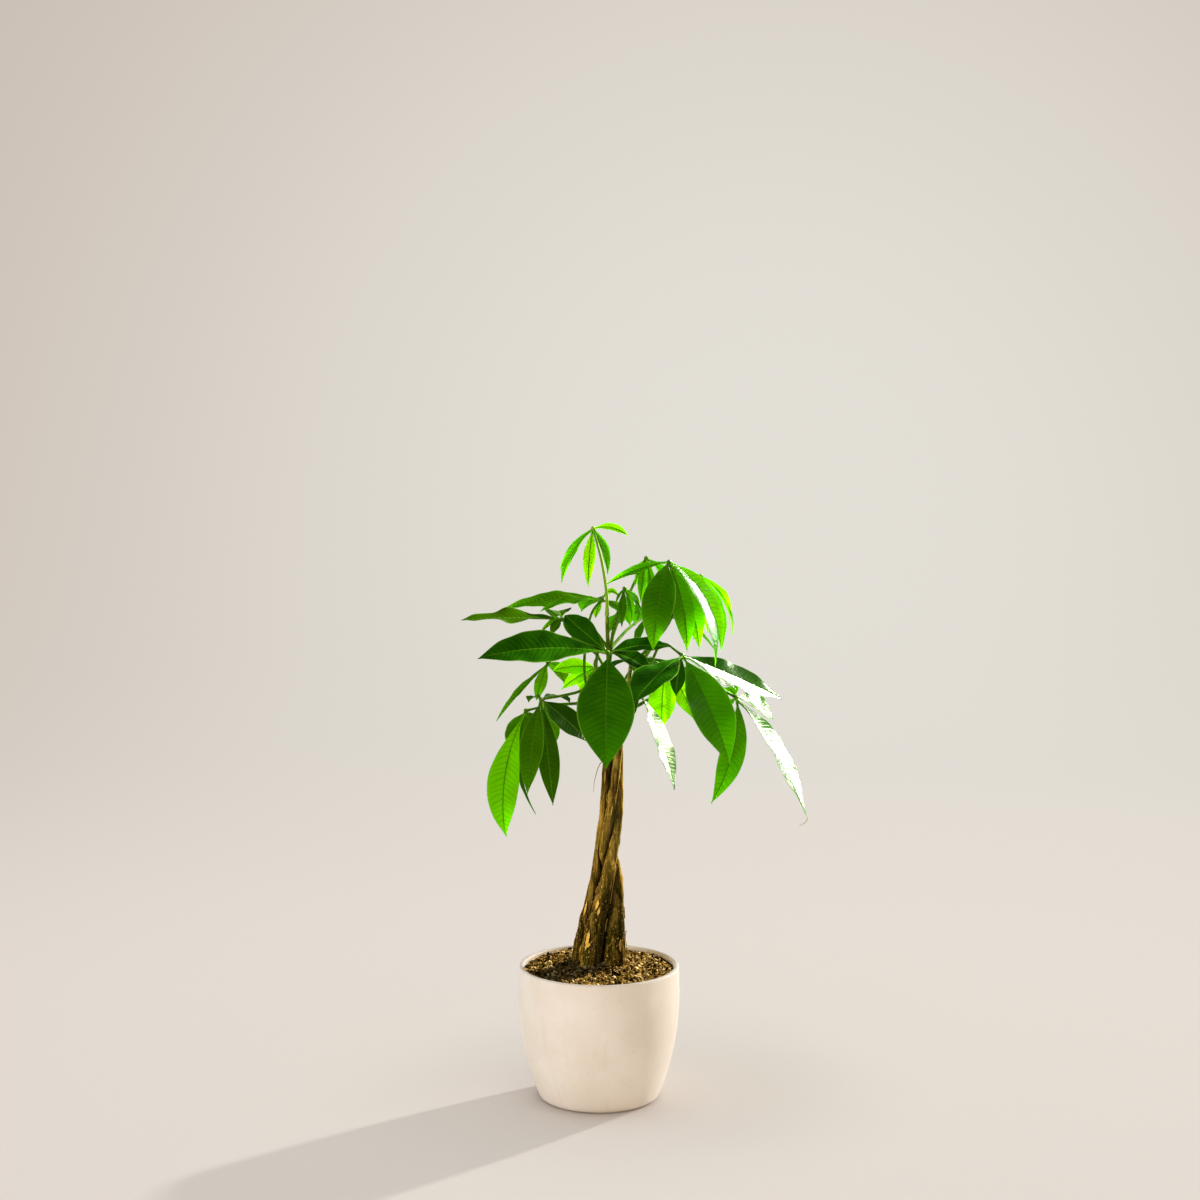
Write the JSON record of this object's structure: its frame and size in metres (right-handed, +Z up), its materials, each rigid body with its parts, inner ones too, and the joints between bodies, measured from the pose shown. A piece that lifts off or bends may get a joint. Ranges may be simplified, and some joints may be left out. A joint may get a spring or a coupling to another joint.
{
  "type": "potted money tree",
  "caption": "Small potted money tree: braided woody trunks with green shoots and hand-shaped leaves, standing in soil in a plain tapered round pot.",
  "frame": {"origin": "centre of the pot's flat underside", "axes": "+Z up along the pot's axis, -Y towards the viewer of the picture, +X to the viewer's right"},
  "size_m": [0.3524, 0.3054, 0.5949],
  "materials": {
    "pot": "matte cream",
    "soil": "moist crumbly potting soil",
    "bark": "rough flaking bark",
    "shoot": "satin green stem",
    "leaf": "semi-gloss leaf"
  },
  "bodies": {
    "root": {"pot": "pot", "soil": "soil", "trunk_left": "bark", "trunk_front": "bark", "trunk_right": "bark", "trunk_back": "bark", "trunk_inner": "bark", "shoot_left": "shoot", "shoot_front": "shoot", "shoot_right": "shoot", "shoot_back": "shoot", "shoot_inner": "shoot", "leaf_top": "leaf", "leaf_crest_front": "leaf", "leaf_crest_back": "leaf", "leaf_crest_inner": "leaf", "leaf_young": "leaf", "leaf_upper_left": "leaf", "leaf_outer_left": "leaf", "leaf_fore": "leaf", "leaf_fore_right": "leaf", "leaf_low_right": "leaf", "leaf_mid_right": "leaf", "leaf_low_inner": "leaf", "leaf_low_left": "leaf", "leaf_hanging_left": "leaf", "leaf_back_left": "leaf", "leaf_low_back": "leaf", "leaf_rear_high": "leaf", "leaf_rear": "leaf"}
  },
  "joints": []
}
